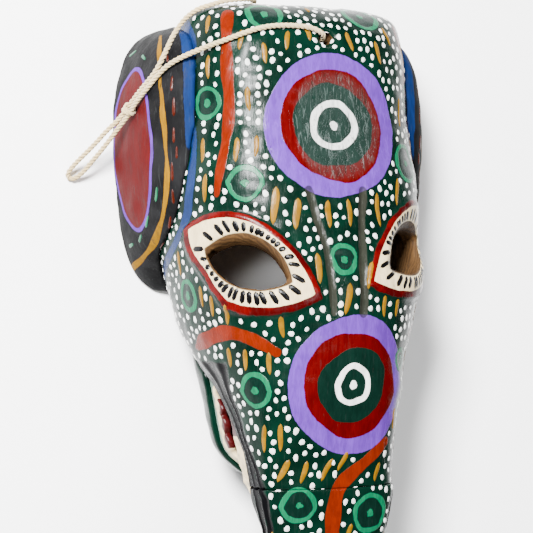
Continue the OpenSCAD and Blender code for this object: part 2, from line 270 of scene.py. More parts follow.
def hole_outline(p):
    """Signed distance in the eye's plane to the opening."""
    long, high = EYE_HOLE
    return arc_pair(p, (long / 2, 0), (-long / 2, 0), high / 2, high / 2)


def eye_hole(co, side):
    local = in_eye(co, side)
    flat = hole_outline(local)
    return np.where((np.abs(local[:, 2]) < 34) & (co[:, 0] * side > 0), flat, AWAY)


def ear_oval(co):
    """Signed distance to the oval on the outer face of either ear."""
    y, z, long, high = EAR_OVAL
    dy, dz = (co[:, 1] - y) / long, (co[:, 2] - z) / high
    k = np.sqrt(dy**2 + dz**2) + 1e-6
    slope = np.sqrt((dy / long) ** 2 + (dz / high) ** 2) / k + 1e-9
    return np.where(np.abs(co[:, 0]) > 88, (k - 1) / slope, AWAY)


def ear_line(co):
    flat = np.stack([np.zeros(len(co)), co[:, 1], co[:, 2]], axis=1)
    d, where = to_line(flat, rounded([(0, y, z) for y, z in EAR_LINE], 3))
    return np.where(np.abs(co[:, 0]) > 84, d - 1.5 + 0.5 * np.sin(where * 31), AWAY)


def mirrored(points):
    return [(-x, y, z) for x, y, z in points]


def unpainted_inside(co, normals):
    """1 in the hollow behind the face and 0 on the outer carving."""
    axis_z = np.interp(co[:, 1], [-60, -40, -2], [110, 95, 60])
    outward = co - np.stack([np.zeros(len(co)), co[:, 1], axis_z], axis=1)
    outward /= np.linalg.norm(outward, axis=1)[:, None] + 1e-9
    inner = (np.einsum("ij,ij->i", normals, outward) < 0.05) & (co[:, 1] < 178)
    inner &= co[:, 1] > -64
    rim = (normals[:, 2] < -0.7) & (co[:, 2] < 4)
    return np.where(inner | rim, 1.0, 0.0)


def uneven(turn, seed):
    """How a hand-drawn circle strays from a true one, from -1 to 1, round its turn."""
    rng = np.random.default_rng(seed)
    out = 0
    for k, share in ((2, 0.5), (3, 0.4), (5, 0.25), (8, 0.14)):
        out = out + share * np.sin(k * turn + rng.uniform(0, 6.28))
    return out


def rounded(points, rounds=2):
    """Cuts the corners of a run of points, and keeps its two ends."""
    points = np.array(points, float)
    for _ in range(rounds):
        a, b = points[:-1], points[1:]
        cut = np.empty((2 * len(a), 3))
        cut[0::2] = 0.75 * a + 0.25 * b
        cut[1::2] = 0.25 * a + 0.75 * b
        points = np.vstack([points[:1], cut, points[-1:]])
    return points


def lip_height(y):
    """Height of the upper lip's edge above the rim."""
    stations = [-170, -145, -123, -112, -93, -69, -58, -50, -41]
    return np.interp(y, stations, [103, 102, 97, 94, 87, 72, 62, 50, 38])


def folds_top(y):
    """Height of the folded skin beside the mouth."""
    return np.interp(y, [-175, -148, -129, -112, -94, -68, -46], [113, 120, 121, 113, 104, 97, 99])


def lip_folds(co):
    """Signed distance to the folded skin beside the mouth, and how many folds up each point lies."""
    y, z = co[:, 1], co[:, 2]
    flank = (np.abs(co[:, 0]) > 24) & (y < -38) & (z > lip_height(y) - 1)
    height = np.maximum(folds_top(y) - lip_height(y), 8)
    turns = FOLD_COUNT * (z - lip_height(y)) / height
    return np.where(flank, np.maximum(z - folds_top(y), y - FOLDS_BACK_Y), AWAY), turns


def paint_fields(co):
    """Signed distance to each colour's shapes, millimetres, negative inside."""
    far = np.full(len(co), AWAY)
    field = {
        name: far.copy()
        for name in ("lavender", "red", "dark", "teal", "orange", "white", "blue", "cream", "rim", "groove",
                     "scuff_and_sheen", "brick", "ochre", "fold")
    }

    def add(name, d):
        field[name] = np.minimum(field[name], d)

    for k, (centre, lavender, red, dark, white, inner, dot) in enumerate((FOREHEAD_RING, MUZZLE_RING)):
        d = to_ball(co, centre)
        turn = np.arctan2(co[:, 1] - centre[1], co[:, 0] - centre[0])
        add("lavender", d - lavender + 1.1 * uneven(turn, 1 + k))
        add("red", d - red + 1.5 * uneven(turn, 3 + k))
        add("dark", d - dark + 1.7 * uneven(turn, 5 + k))
        ring = d + 0.9 * uneven(turn, 7 + k)
        add("white", np.abs(ring - (white + inner) / 2) - (white - inner) / 2 + 0.25 * uneven(turn, 9 + k))
        add("white", d - dot + 0.5 * uneven(turn, 11 + k))
    for k, (centre, outer) in enumerate(TEAL_RINGS):
        turn = np.arctan2(co[:, 1] - centre[1], np.abs(co[:, 0] - centre[0]) - np.abs(co[:, 2] - centre[2]))
        d = to_ball(co, centre) + 0.7 * uneven(turn, 20 + k)
        add("dark", d - outer)
        add("teal", np.abs(d - outer + TEAL_BAND / 2) - TEAL_BAND / 2 + 0.35 * uneven(turn, 40 + k))
        add("teal", d - TEAL_DOT)
    for points, first, last in ORANGE_BANDS:
        d, where = to_line(co, rounded(points))
        swell = 0.9 * np.sin(math.pi * where)
        add("orange", d - (first + (last - first) * where) - swell + 0.4 * np.sin(where * 23 + first))
    for side in (-1, 1):
        cheek, _ = to_line(co, rounded([(side * x, y, z) for x, y, z in CHEEK_STRIPE]))
        add("lavender", cheek - 2.6)
        d = almond(co, side)
        add("rim", d - RED_RIM)
        add("cream", d)
        for run in EAR_BLUE:
            blue, where = to_line(co, rounded(run if side > 0 else mirrored(run)))
            add("blue", blue - np.interp(where, [0, 0.35, 0.7, 1], [5.0, 4.2, 3.0, 4.0]))
    oval = ear_oval(co)
    add("lavender", np.abs(oval - 1.3) - 1.3)
    add("brick", oval)
    add("ochre", ear_line(co))
    for points, half in BRIDGE_GROOVES:
        d, _ = to_line(co, rounded(points))
        add("groove", d - half)
    # The forehead ring's worn varnish, which also carries a painted sheen and painted highlights
    worn = to_ball(co, FOREHEAD_RING[0]) - SCUFF_AND_SHEEN_REACH
    add("scuff_and_sheen", worn - 0.8 * np.minimum(co[:, 0] + 16, 0))
    fold, turns = lip_folds(co)
    add("fold", fold)
    field["fold_turns"] = turns
    return field


# ---------------------------------------------------------------- meshes
def points_of(mesh):
    co = np.empty(len(mesh.vertices) * 3, np.float32)
    mesh.vertices.foreach_get("co", co)
    return co.reshape(-1, 3).astype(float)


def normals_of(mesh):
    out = np.empty(len(mesh.vertices) * 3, np.float32)
    mesh.vertex_normals.foreach_get("vector", out)
    return out.reshape(-1, 3).astype(float)


def edges_of(mesh):
    out = np.empty(len(mesh.edges) * 2, np.int32)
    mesh.edges.foreach_get("vertices", out)
    return out.reshape(-1, 2)


def set_points(mesh, co):
    mesh.vertices.foreach_set("co", co.astype(np.float32).ravel())
    mesh.update()


def linked(name, mesh):
    obj = bpy.data.objects.new(name, mesh)
    bpy.context.scene.collection.objects.link(obj)
    return obj


def even_mesh(name, source, voxel):
    """A copy of a node's mesh with even faces, fine enough to carve."""
    obj = linked(name, source.data.copy())
    obj.data.materials.clear()
    step = obj.modifiers.new("even", "REMESH")
    step.mode = "VOXEL"
    step.voxel_size = voxel * MM
    step.use_smooth_shade = True
    bpy.context.view_layer.update()
    graph = bpy.context.evaluated_depsgraph_get()
    mesh = bpy.data.meshes.new_from_object(obj.evaluated_get(graph))
    obj.modifiers.clear()
    old = obj.data
    obj.data = mesh
    bpy.data.meshes.remove(old)
    mesh.name = name
    return obj


def spread(values, edges, count, weights):
    """Weighted mean of each vertex's neighbours."""
    a, b = edges[:, 0], edges[:, 1]
    total = np.bincount(a, weights, count) + np.bincount(b, weights, count) + 1e-9
    out = np.empty_like(values)
    for k in range(values.shape[1]):
        out[:, k] = np.bincount(a, weights * values[b, k], count)
        out[:, k] += np.bincount(b, weights * values[a, k], count)
    return out / total[:, None]


def ease_facets(mesh, rounds, keep=0.05):
    """Rounds off the small facets and leaves the carved edges."""
    edges = edges_of(mesh)
    co = points_of(mesh)
    loose = 0.5 * smooth_step(np.abs(co[:, 1] / MM - SEAM_Y), 1.5, 5)[:, None]
    for _ in range(rounds):
        normals = normals_of(mesh)
        alike = np.einsum("ij,ij->i", normals[edges[:, 0]], normals[edges[:, 1]])
        weights = np.exp(-(1 - alike) / keep) + 0.02
        co += loose * (spread(co, edges, len(co), weights) - co)
        set_points(mesh, co)


def rolling(co, size, seed):
    """Slow, even noise from -1 to 1, for hand-cut surfaces."""
    out = np.zeros(len(co))
    rng = np.random.default_rng(seed)
    for _ in range(9):
        way = rng.normal(size=3)
        way /= np.linalg.norm(way)
        out += np.sin(co @ way * (2 * math.pi / size) * rng.uniform(0.6, 1.5) + rng.uniform(0, 6.28))
    return out / 3


def shade_smooth(mesh):
    mesh.polygons.foreach_set("use_smooth", [True] * len(mesh.polygons))


def riding_mesh(name, vertices, faces, look):
    """A smooth piece of its own that rides on the mask. Vertices in metres."""
    mesh = bpy.data.meshes.new(name)
    mesh.from_pydata([tuple(v) for v in vertices], [], faces)
    mesh.materials.append(look)
    shade_smooth(mesh)
    obj = linked(name, mesh)
    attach(obj, "mask")
    return obj


def set_field(mesh, name, values):
    attribute = mesh.attributes.new(name, "FLOAT", "POINT")
    attribute.data.foreach_set("value", values.astype(np.float32))


def carve_details(co, inside):
    """How far each point of the head moves along its normal, millimetres."""
    move = 0.28 * rolling(co, 26, 3) + 0.13 * rolling(co, 11, 4)
    for side in (-1, 1):
        move += 1.7 * (1 - smooth_step(almond(co, side) - RED_RIM, -1.6, 1.8))
    for points, half in BRIDGE_GROOVES:
        d, _ = to_line(co, points)
        move -= 1.5 * (1 - smooth_step(d, 0.4, half + 0.8))
    fold, turns = lip_folds(co)
    cut = (1 - smooth_step(fold, -1.5, 1.5)) * smooth_step(turns, 0.1, 0.6)
    move -= cut * 1.2 * (0.5 + 0.5 * np.cos(turns * math.pi + 0.4 * np.sin(co[:, 1] * 0.11)))
    return move * (1 - inside) + inside * (0.5 * rolling(co, 17, 8) - 0.2)


class Carved:
    """A node's carved and painted piece, with what the loose strokes of paint need to lie on it."""

    def __init__(self, node, voxel, rounds, slot, keep=0.05):
        self.node = node
        self.obj = even_mesh(node + "_carved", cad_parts[node], voxel)
        ease_facets(self.obj.data, rounds, keep)
        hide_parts(node)
        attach(self.obj, "mask")

    def refresh(self):
        mesh = self.obj.data
        self.co = points_of(mesh) / MM
        self.normals = normals_of(mesh)
        return self

    def shift(self, move):
        """Moves every point along its normal by so many millimetres, and stays in the node's own box."""
        low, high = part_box(self.node)
        co = (self.co + self.normals * move[:, None]) * MM
        set_points(self.obj.data, np.clip(co, np.array(low) + 1e-5, np.array(high) - 1e-5))
        return self.refresh()

    def finish(self, inside, material, lip=None):
        mesh = self.obj.data
        self.inside = inside
        self.field = paint_fields(self.co)
        self.field["lip"] = np.full(len(self.co), AWAY) if lip is None else lip
        for name, values in self.field.items():
            set_field(mesh, name, values)
        set_field(mesh, "inside", inside)
        hole = np.minimum(eye_hole(self.co, -1), eye_hole(self.co, 1))
        set_field(mesh, "hole", hole)
        self.hole = hole
        mesh.materials.append(material)
        shade_smooth(mesh)
        vertices = [tuple(v) for v in points_of(mesh)]
        faces = [tuple(p.vertices) for p in mesh.polygons]
        self.tree = BVHTree.FromPolygons(vertices, faces)
        return self


# ---------------------------------------------------------------- shader groups
def plug(tree, socket, value):
    """Links a socket to another one, or sets its value."""
    if isinstance(value, bpy.types.NodeSocket):
        tree.links.new(value, socket)
    elif socket.type == "RGBA":
        socket.default_value = (*value, 1.0)
    else:
        socket.default_value = value


class Board:
    """Adds nodes to a shader tree and links them."""

    def __init__(self, tree):
        self.tree = tree

    def add(self, kind, inputs=None, **settings):
        node = self.tree.nodes.new(kind)
        for key, value in settings.items():
            setattr(node, key, value)
        for key, value in (inputs or {}).items():
            plug(self.tree, node.inputs[key], value)
        return node

    def math(self, operation, a, b=0.0, clamp=False):
        node = self.add("ShaderNodeMath", {0: a, 1: b}, operation=operation)
        node.use_clamp = clamp
        return node.outputs[0]

    def times(self, a, b):
        return self.math("MULTIPLY", a, b)

    def plus(self, a, b, clamp=False):
        return self.math("ADD", a, b, clamp)

    def minus(self, a, b):
        return self.math("SUBTRACT", a, b)

    def field(self, name):
        return self.add("ShaderNodeAttribute", attribute_name=name).outputs["Fac"]

    def noise(self, vector, scale, detail=2.0, roughness=0.5, distortion=0.0):
        return self.add(
            "ShaderNodeTexNoise",
            {"Vector": vector, "Scale": scale, "Detail": detail, "Roughness": roughness,
             "Distortion": distortion},
        ).outputs["Fac"]

    def ramp(self, value, low, high, out_low=0.0, out_high=1.0, soft=True):
        return self.add(
            "ShaderNodeMapRange",
            {"Value": value, "From Min": low, "From Max": high, "To Min": out_low, "To Max": out_high},
            interpolation_type="SMOOTHSTEP" if soft else "LINEAR",
        ).outputs["Result"]

    def mix(self, factor, a, b):
        node = self.add("ShaderNodeMix", data_type="RGBA")
        for socket, value in ((node.inputs["Factor"], factor), (node.inputs[6], a), (node.inputs[7], b)):
            plug(self.tree, socket, value)
        return node.outputs[2]

    def stretched(self, vector, scale):
        return self.add("ShaderNodeMapping", {"Vector": vector, "Scale": scale}).outputs[0]

    def bump(self, height, strength, depth):
        inputs = {"Height": height, "Strength": strength, "Distance": depth}
        return self.add("ShaderNodeBump", inputs).outputs[0]


def group(name, inputs, outputs):
    tree = bpy.data.node_groups.new(name, "ShaderNodeTree")
    for label, kind in inputs:
        tree.interface.new_socket(label, in_out="INPUT", socket_type=kind)
    for label, kind in outputs:
        tree.interface.new_socket(label, in_out="OUTPUT", socket_type=kind)
    board = Board(tree)
    return tree, board, board.add("NodeGroupInput"), board.add("NodeGroupOutput")


def hand_edge_group():
    """A painted edge that wavers as a brush does: 1 inside the shape, 0 outside."""
    tree, board, given, out = group(
        "hand_edge",
        [("Distance", "NodeSocketFloat"), ("Waver", "NodeSocketFloat"), ("Place", "NodeSocketVector")],
        [("Mask", "NodeSocketFloat")],
    )
    slow = board.noise(given.outputs["Place"], 95, 1.0)
    quick = board.noise(given.outputs["Place"], 520, 2.0, 0.6)
    small = board.times(board.minus(quick, 0.5), 0.45)
    waver = board.plus(board.minus(slow, 0.5), small)
    waver = board.times(waver, given.outputs["Waver"])
    moved = board.plus(given.outputs["Distance"], waver)
    tree.links.new(board.ramp(moved, -0.2, 0.2, 1.0, 0.0), out.inputs["Mask"])
    return tree


def brushwork_group():
    """Height and tone of paint laid on with a coarse brush and varnished."""
    tree, board, given, out = group(
        "brushwork",
        [("Place", "NodeSocketVector")],
        [("Height", "NodeSocketFloat"), ("Tone", "NodeSocketFloat"), ("Wear", "NodeSocketFloat")],
    )
    place = given.outputs["Place"]
    hairs = board.noise(board.stretched(place, (1500, 170, 1500)), 1.0, 2.0, 0.6, 0.4)
    strokes = board.noise(board.stretched(place, (260, 60, 260)), 1.0, 2.0, 0.55, 0.8)
    lumps = board.noise(place, 330, 3.0, 0.6)
    height = board.plus(board.times(hairs, 0.35), board.times(strokes, 0.7))
    height = board.plus(height, board.times(lumps, 0.45))
    cracks = board.noise(board.stretched(place, (300, 34, 300)), 1.0, 5.0, 0.72, 0.6)
    wear = board.ramp(cracks, 0.64, 0.70)
    height = board.minus(height, board.times(wear, 0.5))
    tree.links.new(height, out.inputs["Height"])
    tone = board.plus(board.times(strokes, 0.6), board.times(hairs, 0.4))
    tree.links.new(tone, out.inputs["Tone"])
    tree.links.new(wear, out.inputs["Wear"])
    return tree


def bare_wood_group():
    """Colour and height of unpainted, knife-cut wood whose grain runs along the mask."""
    tree, board, given, out = group(
        "bare_wood",
        [("Place", "NodeSocketVector"), ("Light", "NodeSocketColor"), ("Dark", "NodeSocketColor")],
        [("Color", "NodeSocketColor"), ("Height", "NodeSocketFloat")],
    )
    place = given.outputs["Place"]
    rings = board.add(
        "ShaderNodeTexWave",
        {"Vector": board.stretched(place, (1.0, 0.12, 1.0)), "Scale": 120.0, "Distortion": 7.0, "Detail": 3.0,
         "Detail Scale": 1.4},
        wave_type="RINGS",
        rings_direction="Y",
    ).outputs["Fac"]
    fibres = board.noise(board.stretched(place, (1900, 70, 1900)), 1.0, 3.0, 0.65)
    stain = board.noise(place, 34, 3.0, 0.6)
    tone = board.plus(board.times(rings, 0.35), board.times(fibres, 0.5))
    stain = board.times(board.minus(stain, 0.5), 0.8)
    tone = board.plus(tone, stain, clamp=True)
    tree.links.new(board.mix(tone, given.outputs["Dark"], given.outputs["Light"]), out.inputs["Color"])
    height = board.plus(board.times(fibres, 0.7), board.times(rings, 0.3))
    tree.links.new(height, out.inputs["Height"])
    return tree


GROUPS = {"hand_edge": hand_edge_group(), "brushwork": brushwork_group(), "bare_wood": bare_wood_group()}


def call(board, name, inputs):
    node = board.add("ShaderNodeGroup", node_tree=GROUPS[name])
    for key, value in inputs.items():
        plug(board.tree, node.inputs[key], value)
    return node.outputs


def material(name):
    made = bpy.data.materials.new(name)
    made.use_nodes = True
    tree = made.node_tree
    tree.nodes.clear()
    board = Board(tree)
    shader = board.add("ShaderNodeBsdfPrincipled")
    out = board.add("ShaderNodeOutputMaterial")
    tree.links.new(shader.outputs[0], out.inputs["Surface"])
    place = board.add("ShaderNodeTexCoord").outputs["Object"]
    return made, board, shader, place


def shade(board, shader, **values):
    for key, value in values.items():
        plug(board.tree, shader.inputs[key.replace("_", " ")], value)


def edge_mask(board, place, field, waver):
    """1 inside a field's shapes, with an edge that wavers by so many millimetres."""
    inputs = {"Distance": board.field(field), "Waver": waver, "Place": place}
    return call(board, "hand_edge", inputs)["Mask"]


def scaled(colour, k):
    return tuple(min(1.0, c * k) for c in colour)


def folded_lip(board, place, colour, height):
    """The carved folds beside the mouth: black cuts, with grey and green where the brush dragged."""
    mask = edge_mask(board, place, "fold", 3.0)
    drift = board.times(board.noise(place, 50, 2.0), 3.0)
    turns = board.field("fold_turns")
    wave = board.math("SINE", board.plus(board.times(turns, 2 * math.pi), drift))
    streak = board.noise(board.stretched(place, (420, 30, 420)), 1.0, 3.0, 0.6)
    ridge = board.ramp(board.plus(board.times(wave, 0.2), streak), 0.60, 0.86)
    green = board.ramp(board.noise(place, 75, 2.0), 0.5, 0.62)
    painted = board.mix(ridge, BLACK, board.mix(green, scaled(GREY_STREAK, 0.6), scaled(DEEP_GREEN, 1.3)))
    colour = board.mix(mask, colour, painted)
    relief = board.times(board.times(wave, mask), 0.5)
    return colour, board.plus(height, relief)


def scuff_and_painted_sheen(board, place, colour, height):
    """The forehead's big ring, where the varnish has crazed and worn in long upright streaks. A grey-green
    sheen is painted over its middle, and its lighter streaks are painted highlights.
    """
    distance = board.field("scuff_and_sheen")
    near = board.ramp(distance, -9.0, 1.0, 1.0, 0.0)
    crazed = board.noise(board.stretched(place, (340, 52, 340)), 1.0, 5.0, 0.7, 1.0)
    glint_streaks = board.times(board.ramp(crazed, 0.54, 0.64), near)
    dark = board.times(board.ramp(crazed, 0.36, 0.44, 1.0, 0.0), near)
    # Painted sheen, together with the worn varnish: the ring's middle is greyed towards grey-green
    colour = board.mix(board.times(near, 0.22), colour, SCUFF_AND_SHEEN)
    # Painted highlights along the lighter crazed streaks
    colour = board.mix(board.times(glint_streaks, 0.42), colour, scaled(SCUFF_AND_SHEEN, 2.6))
    colour = board.mix(board.times(dark, 0.6), colour, scaled(DEEP_GREEN, 1.2))
    relief = board.times(board.minus(glint_streaks, dark), 0.8)
    return colour, board.plus(height, relief)


def painted_wood(name, base, second, layers, roughness=0.22, streaks=0.15, gloss=0.06):
    """Varnished paint over carved wood. Layers are (field, colour, waver in mm, thickness)."""
    made, board, shader, place = material(name)
    brush = call(board, "brushwork", {"Place": place})
    patch = board.noise(place, 42, 3.0, 0.6)
    colour = board.mix(board.ramp(patch, 0.38, 0.66), base, second)
    height = board.times(brush["Height"], 0.5)
    for field, paint, waver, thickness in layers:
        mask = edge_mask(board, place, field, waver)
        tone = board.ramp(brush["Tone"], 0.30, 0.68, 0.0, 1.0)
        varied = board.mix(tone, scaled(paint, 0.74), scaled(paint, 1.12))
        if field == "rim":
            varied = board.mix(board.ramp(patch, 0.47, 0.56), varied, DARK_RED)
        colour = board.mix(mask, colour, varied)
        height = board.plus(height, board.times(mask, thickness))
    worn = board.times(brush["Wear"], board.ramp(patch, 0.42, 0.6))
    colour = board.mix(board.times(worn, 0.75), colour, scaled(BARE_WOOD_DARK, 0.7))
    dragged = board.noise(board.stretched(place, (640, 42, 640)), 1.0, 4.0, 0.66, 0.5)
    dry = board.times(board.ramp(dragged, 0.56, 0.70), streaks)
    colour = board.mix(dry, colour, GREY_STREAK)
    # The forehead ring's worn varnish, with a painted sheen and painted highlights on its streaks
    colour, height = scuff_and_painted_sheen(board, place, colour, height)
    grooved = edge_mask(board, place, "groove", 1.6)
    groove_paint = board.mix(brush["Tone"], GROOVE_DARK, GROOVE_LIGHT)
    colour = board.mix(board.times(grooved, 0.8), colour, groove_paint)
    colour, height = folded_lip(board, place, colour, height)
    wood = call(board, "bare_wood", {"Place": place, "Light": BARE_WOOD, "Dark": BARE_WOOD_DARK})
    inside = board.field("inside")
    hole = board.field("hole")
    hole_wall = board.ramp(hole, 0.5, 1.1, 1.0, 0.0)
    bare = board.math("MAXIMUM", board.ramp(inside, 0.35, 0.6), hole_wall, clamp=True)
    colour = board.mix(bare, colour, wood["Color"])
    bump_height = board.plus(board.times(height, board.minus(1.0, bare)),
                             board.times(wood["Height"], bare))
    bump = board.bump(bump_height, 0.55, 0.0006)
    rough = board.ramp(brush["Height"], 0.4, 1.1, roughness - 0.07, roughness + 0.12)
    rough = board.plus(rough, board.times(bare, 0.35), clamp=True)
    shade(board, shader, Base_Color=colour, Roughness=rough, Normal=bump, Specular_IOR_Level=gloss)
    return made


def loose_paint(name, colour, dark=0.72, roughness=0.3):
    """A raised touch of varnished paint."""
    made, board, shader, place = material(name)
    hairs = board.noise(board.stretched(place, (1400, 320, 1400)), 1.0, 2.0, 0.6)
    tone = board.noise(place, 130, 2.0, 0.6)
    mixed = board.mix(board.ramp(tone, 0.34, 0.6), scaled(colour, dark), colour)
    mixed = board.mix(board.ramp(hairs, 0.25, 0.42, 0.35, 0.0), mixed, scaled(colour, dark * 0.6))
    bump = board.bump(hairs, 0.5, 0.0004)
    shade(board, shader, Base_Color=mixed, Roughness=roughness, Normal=bump, Specular_IOR_Level=0.09)
    return made


def plain_wood(name, light, dark):
    made, board, shader, place = material(name)
    wood = call(board, "bare_wood", {"Place": place, "Light": light, "Dark": dark})
    bump = board.bump(wood["Height"], 0.6, 0.0005)
    shade(board, shader, Base_Color=wood["Color"], Roughness=0.7, Normal=bump)
    return made


def cotton(name):
    made, board, shader, place = material(name)
    fibres = board.noise(place, 2600, 3.0, 0.7)
    dirt = board.noise(place, 70, 3.0, 0.6)
    colour = board.mix(fibres, scaled(COTTON, 0.72), scaled(COTTON, 1.12))
    colour = board.mix(board.ramp(dirt, 0.5, 0.75, 0.0, 0.4), colour, scaled(COTTON, 0.55))
    bump = board.bump(fibres, 0.8, 0.0003)
    shade(board, shader, Base_Color=colour, Roughness=0.9, Normal=bump,
          Sheen_Weight=0.35, Sheen_Roughness=0.5)
    return made


HEAD_LAYERS = [
    ("blue", BLUE, 1.6, 0.25), ("lavender", LAVENDER, 1.8, 0.3), ("red", RED, 2.2, 0.2),
    ("dark", DEEP_GREEN, 2.0, 0.15), ("orange", ORANGE, 1.4, 0.35), ("teal", TEAL, 1.6, 0.35),
    ("white", WHITE, 1.2, 0.45), ("rim", BRIGHT_RED, 2.4, 0.35), ("cream", CREAM, 1.2, 0.3),
    ("lip", RED, 1.4, 0.2),
]
EAR_LAYERS = [
    ("blue", BLUE, 1.6, 0.25), ("lavender", LAVENDER, 1.0, 0.3), ("brick", BRICK, 0.8, 0.25),
    ("ochre", OCHRE, 0.9, 0.35),
]


# ---------------------------------------------------------------- loose paint that lies on the carving
class Paint:
    """Raised touches of one colour, gathered into one mesh."""

    def __init__(self):
        self.vertices = []
        self.faces = []

    def dab(self, tree, centre, along, half_long, half_wide, height, sides=9):
        """One touch of a round brush. Lengths in millimetres, places in metres."""
        p, n, _, _ = tree.find_nearest(Vector(centre))
        t = (Vector(along) - n * n.dot(Vector(along))).normalized()
        s = n.cross(t)
        start = len(self.vertices)
        turn = RNG.uniform(0, 6.28)
        for share, lift in ((1.0, -0.05), (0.74, 0.72 * height), (0.0, height)):
            for k in range(sides if share else 1):
                a = turn + 2 * math.pi * k / sides
                uneven = 1 + 0.12 * math.sin(2 * a + turn) + 0.07 * math.sin(3 * a + 2 * turn)
                q = p + (t * math.cos(a) * half_long + s * math.sin(a) * half_wide) * (share * uneven * MM)
                hit, way, _, _ = tree.find_nearest(q)
                self.vertices.append(hit + way * lift * MM)
        for k in range(sides):
            m = (k + 1) % sides
            self.faces.append((start + k, start + m, start + sides + m, start + sides + k))
            self.faces.append((start + sides + k, start + sides + m, start + 2 * sides))

    def stroke(self, tree, points, widths, height):
        """A drawn line with rounded ends. Points in metres, half widths and height in millimetres."""
        across = ((-1, -0.05), (-0.66, 0.75), (0, 1.0), (0.66, 0.75), (1, -0.05))
        start = len(self.vertices)
        points = [Vector(p) for p in points]
        for i, p in enumerate(points):
            ahead = points[min(i + 1, len(points) - 1)] - points[max(i - 1, 0)]
            hit, n, _, _ = tree.find_nearest(p)
            t = (ahead - n * n.dot(ahead)).normalized()
            s = n.cross(t)
            end = 0.0 if i in (0, len(points) - 1) else 1.0
            for share, lift in across:
                q, way, _, _ = tree.find_nearest(hit + s * share * widths[i] * MM)
                tall = height * lift * end if lift > 0 else -0.05
                self.vertices.append(q + way * tall * MM)
        n = len(across)
        for i in range(len(points) - 1):
            for j in range(n - 1):
                a = start + i * n + j
                self.faces.append((a, a + 1, a + n + 1, a + n))

    def build(self, name, look):
        riding_mesh(name, self.vertices, self.faces, look)


def dash(paint, tree, middle, half_long, half_wide):
    """A short upright stroke, thick where the brush was set down and thin where it left."""
    x, y, z = middle
    lean = RNG.uniform(-0.2, 0.2) - (0.4 if LEANING_ROW[0] < y < LEANING_ROW[1] else 0)
    steps = 13
    points, widths = [], []
    for i in range(steps):
        t = 2 * i / (steps - 1) - 1
        sway = lean * t * half_long + 0.3 * math.sin(3 * t + x)
        points.append(((x + sway) * MM, (y - t * half_long) * MM, z * MM))
        widths.append(half_wide * (1 - abs(t) ** 3) ** 0.6 * (1.15 - 0.35 * (t + 1) / 2) + 0.1)
    on_surface = [tree.find_nearest(Vector(p))[0] for p in points]
    paint.stroke(tree, on_surface, widths, 0.32)


def mark(paint, tree, middle, way, half_long, half_wide, height=0.3):
    """A short stroke that runs a given way."""
    steps = 9
    way = np.array(way, float) / np.linalg.norm(way)
    points, widths = [], []
    for i in range(steps):
        t = 2 * i / (steps - 1) - 1
        points.append(tree.find_nearest(Vector((np.array(middle) + way * t * half_long) * MM))[0])
        widths.append(half_wide * (1 - abs(t) ** 5) ** 0.5 * (1 - 0.25 * t) + 0.15)
    paint.stroke(tree, points, widths, height)


def lashes(paint, tree, side):
    """Short black strokes that stand round the eye's opening, on the cream."""
    middle, axes = eye_frame(side)
    outward = Vector(axes[:, 2] * np.array([side, 1, 1]))
    count = 31
    for i in range(count):
        turn = 2 * math.pi * (i + RNG.uniform(-0.2, 0.2)) / count
        way = np.array([math.cos(turn), math.sin(turn)])
        reach = np.arange(4, 60, 0.25)
        ray = reach[:, None] * way
        flat = np.column_stack([ray, np.zeros(len(ray))])
        start = reach[np.argmax(hole_outline(flat) > 0.9)]
        end = reach[np.argmax(almond_outline(flat) > -1.0)]
        end = min(end, start + 9.5)
        if end - start < 1.6:
            continue
        points = []
        bend = RNG.uniform(-0.12, 0.12)
        for k in range(7):
            d = start + (end - start) * k / 6
            x, y = way * d + np.array([-way[1], way[0]]) * bend * (d - start)
            above = Vector(from_eye((x, y, 25), side) * MM)
            hit = tree.ray_cast(above, -outward)
            if hit[0] is None or (hit[0] - above).length > 0.05:
                break
            points.append(hit[0])
        if len(points) == 7:
            wide = RNG.uniform(1.3, 1.75)
            widths = [wide * (1 - abs(2 * k / 6 - 1) ** 5) ** 0.5 + 0.2 for k in range(7)]
            paint.stroke(tree, points, widths, 0.25)


NEIGHBOURS = [(i, j, k) for i in (-1, 0, 1) for j in (-1, 0, 1) for k in (-1, 0, 1)]


def scatter(carved, clearance, gap, seed):
    """Places for dots on a piece, none closer than the gap, away from the other paint."""
    rng = np.random.default_rng(seed)
    in_reach = (carved.co[:, 1] > DOTS_END_Y) & (carved.co[:, 2] > DOTS_END_Z)
    free = np.where((clearance > 2.1) & (carved.inside < 0.3) & (carved.hole > 5) & in_reach)[0]
    rng.shuffle(free)
    cells, chosen = {}, []
    co = carved.co
    for i in free:
        p = co[i]
        key = (p // gap).astype(int)
        around = (cells.get((key[0] + i, key[1] + j, key[2] + k), ()) for i, j, k in NEIGHBOURS)
        if not any(sum((p - q) ** 2) < gap * gap for found in around for q in found):
            cells.setdefault(tuple(key), []).append(p)
            chosen.append(p)
    return chosen


def painted_distance(carved):
    """Distance from each point to the nearest motif that the dots keep clear of."""
    field = carved.field
    d = np.full(len(carved.co), AWAY)
    motifs = ("lavender", "dark", "teal", "orange", "rim", "blue", "brick", "white", "ochre", "lip", "fold")
    for name in motifs:
        d = np.minimum(d, field[name] - (0.6 if name in ("rim", "lavender") else 0))
    d = np.minimum(d, field["groove"] + 1.2)
    for (x, y, z), long, wide in OCHRE_DASHES:
        near, _ = to_line(carved.co, [(x, y - long, z), (x, y + long, z)])
        d = np.minimum(d, near - wide - 0.6)
    return d


